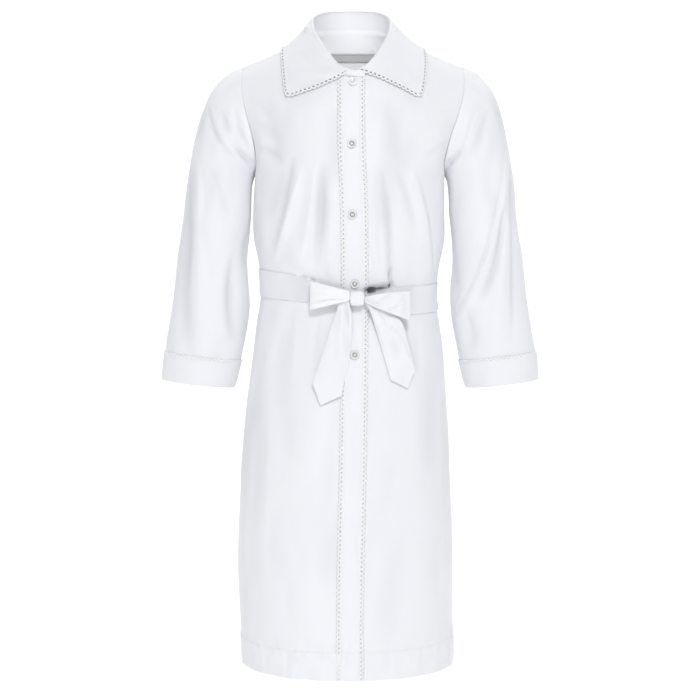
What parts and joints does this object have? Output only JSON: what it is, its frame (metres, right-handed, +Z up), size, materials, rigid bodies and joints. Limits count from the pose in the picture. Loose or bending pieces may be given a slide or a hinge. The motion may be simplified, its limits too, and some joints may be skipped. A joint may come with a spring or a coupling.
{
  "type": "kittel",
  "caption": "White buttoned robe with fold-over collar, lace trimming, long cuffed sleeves and a tied sash, filled out as worn.",
  "frame": {"origin": "between the two shoulder points at the neck, where the wearer's shoulders carry the robe", "axes": "+Z up along the robe, +X to the right as seen from the front, +Y towards the back"},
  "size_m": [0.665, 0.2961, 1.1494],
  "materials": {
    "cloth": "smooth white cloth with a slight satin sheen",
    "lace": "narrow white scalloped lace",
    "tape": "plain grey woven tape",
    "pearl": "pearly white button with a raised rim"
  },
  "bodies": {
    "root": {"front_left": "cloth", "front_right": "cloth", "back": "cloth", "sleeve_left": "cloth", "sleeve_right": "cloth", "cuff_left": "cloth", "cuff_right": "cloth", "bow_loop_left": "cloth", "bow_loop_right": "cloth", "bow_tail_left": "cloth", "bow_tail_right": "cloth", "collar_stand": "cloth", "collar": "cloth", "placket": "cloth", "sash_band": "cloth", "bow_knot": "cloth", "neck_facing": "cloth", "cuff_lace_left": "lace", "cuff_lace_right": "lace", "placket_lace_left": "lace", "placket_lace_right": "lace", "collar_lace": "lace", "neck_tape": "tape", "button_1": "pearl", "button_2": "pearl", "button_3": "pearl", "button_4": "pearl", "button_5": "pearl"}
  },
  "joints": []
}
